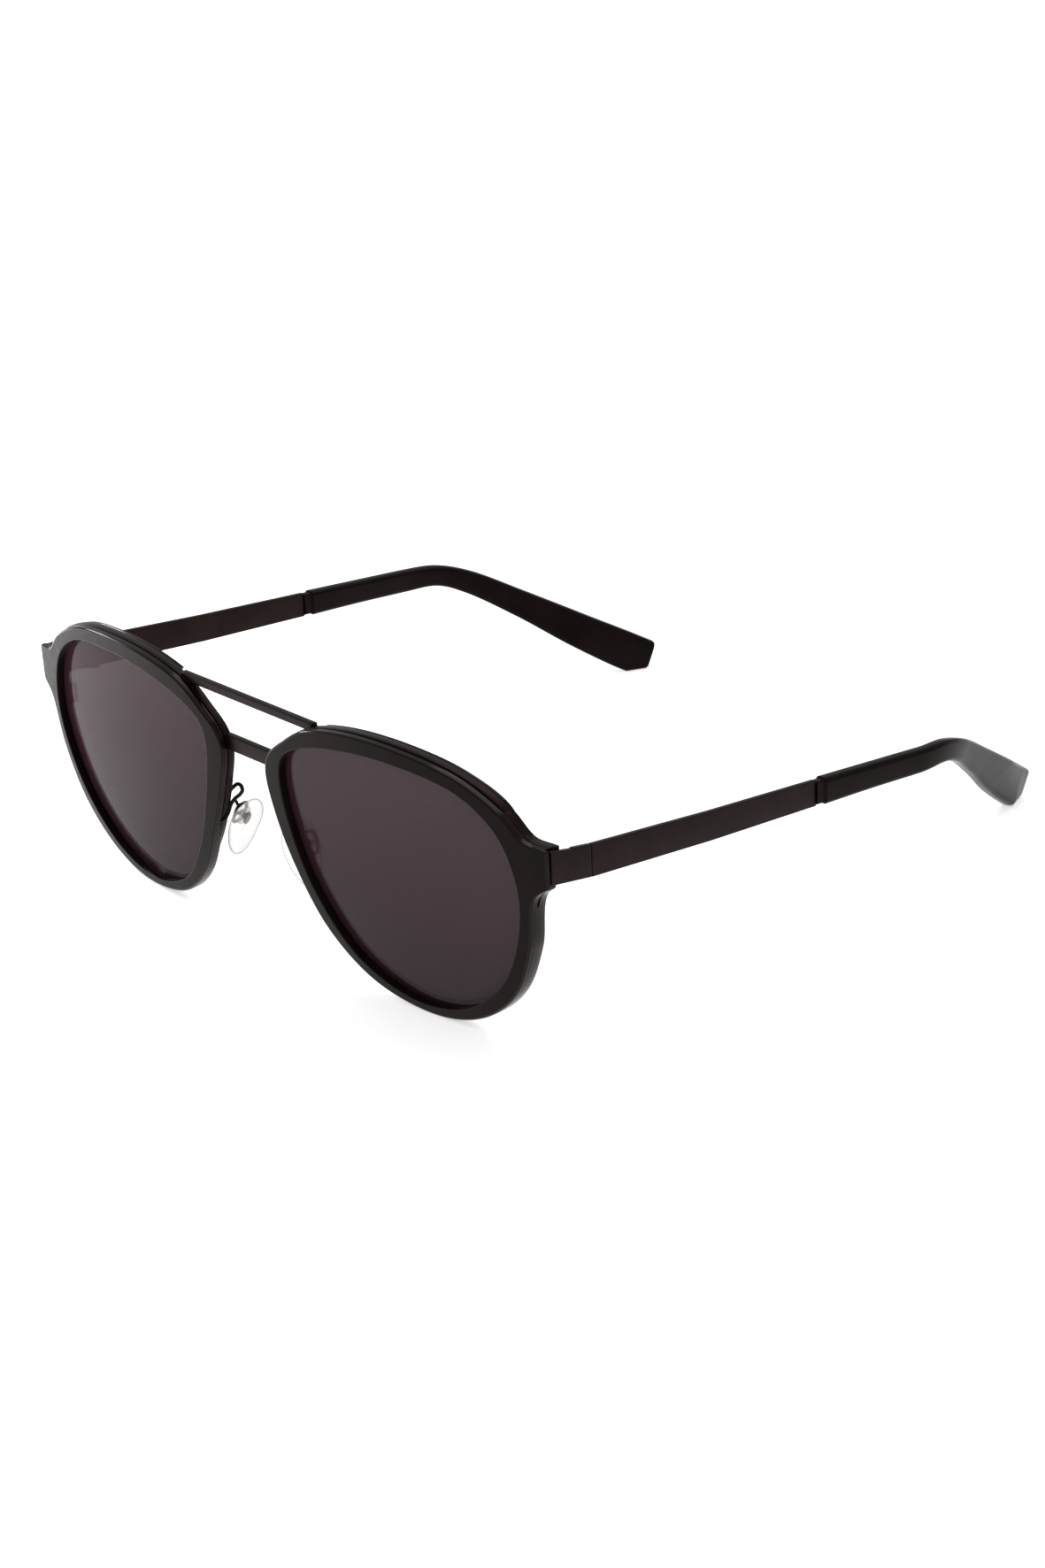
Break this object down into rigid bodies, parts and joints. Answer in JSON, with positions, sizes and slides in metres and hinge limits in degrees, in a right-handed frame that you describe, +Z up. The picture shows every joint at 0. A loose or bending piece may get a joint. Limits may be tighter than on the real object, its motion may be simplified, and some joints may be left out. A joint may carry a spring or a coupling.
{
  "type": "aviator sunglasses",
  "caption": "Aviator sunglasses with teardrop tinted lenses, black acetate rims on a steel chassis, a brow bar above a lower bridge, clear nose pads and folding temples.",
  "frame": {"origin": "bottom centre of the open glasses' bounding box, on the surface they stand on", "axes": "front of the lenses faces -Y, temples run towards +Y, the wearer's left is +X, +Z is up"},
  "size_m": [0.1446, 0.1502, 0.0514],
  "materials": {
    "acetate": "black cellulose acetate, satin front face and polished edges",
    "dark_steel": "satin gunmetal-brown coated stainless steel",
    "hinge_steel": "black coated hinge and screw steel",
    "tinted_lens": "smoke lens with a purple-brown tint, polished",
    "silicone": "clear soft silicone, glossy"
  },
  "bodies": {
    "front": {"front_rim_left": "acetate", "front_rim_right": "acetate", "lens_left": "tinted_lens", "lens_right": "tinted_lens", "eyewire_left": "dark_steel", "eyewire_right": "dark_steel", "closing_screw_left": "hinge_steel", "closing_screw_right": "hinge_steel", "brow_trim_left": "acetate", "brow_trim_right": "acetate", "end_piece_left": "dark_steel", "end_piece_right": "dark_steel", "front_hinge_left": "hinge_steel", "front_hinge_right": "hinge_steel", "hinge_screw_left": "hinge_steel", "hinge_screw_right": "hinge_steel", "pad_arm_left": "hinge_steel", "pad_arm_right": "hinge_steel", "brow_bar": "dark_steel", "lower_bridge": "dark_steel"},
    "temple_left": {"temple_arm_left": "dark_steel", "temple_tip_left": "acetate", "temple_hinge_left": "hinge_steel"},
    "temple_right": {"temple_arm_right": "dark_steel", "temple_tip_right": "acetate", "temple_hinge_right": "hinge_steel"},
    "pad_left": {"nose_pad_left": "silicone", "pad_insert_left": "hinge_steel"},
    "pad_right": {"nose_pad_right": "silicone", "pad_insert_right": "hinge_steel"}
  },
  "joints": [
    {"name": "left_temple_fold", "type": "hinge", "parent": "front", "child": "temple_left", "pos_m": [0.0685, -0.05782, 0.0348], "axis": [0, 0, 1], "range_deg": [0, 85]},
    {"name": "right_temple_fold", "type": "hinge", "parent": "front", "child": "temple_right", "pos_m": [-0.0685, -0.05782, 0.0348], "axis": [0, 0, -1], "range_deg": [0, 75]},
    {"name": "left_pad_rock", "type": "hinge", "parent": "front", "child": "pad_left", "pos_m": [0.0096, -0.06792, 0.0219], "axis": [-0.3253, 0.1057, 0.9397], "range_deg": [-8, 8]},
    {"name": "right_pad_rock", "type": "hinge", "parent": "front", "child": "pad_right", "pos_m": [-0.0096, -0.06792, 0.0219], "axis": [0.3253, 0.1057, 0.9397], "range_deg": [-8, 8]}
  ]
}
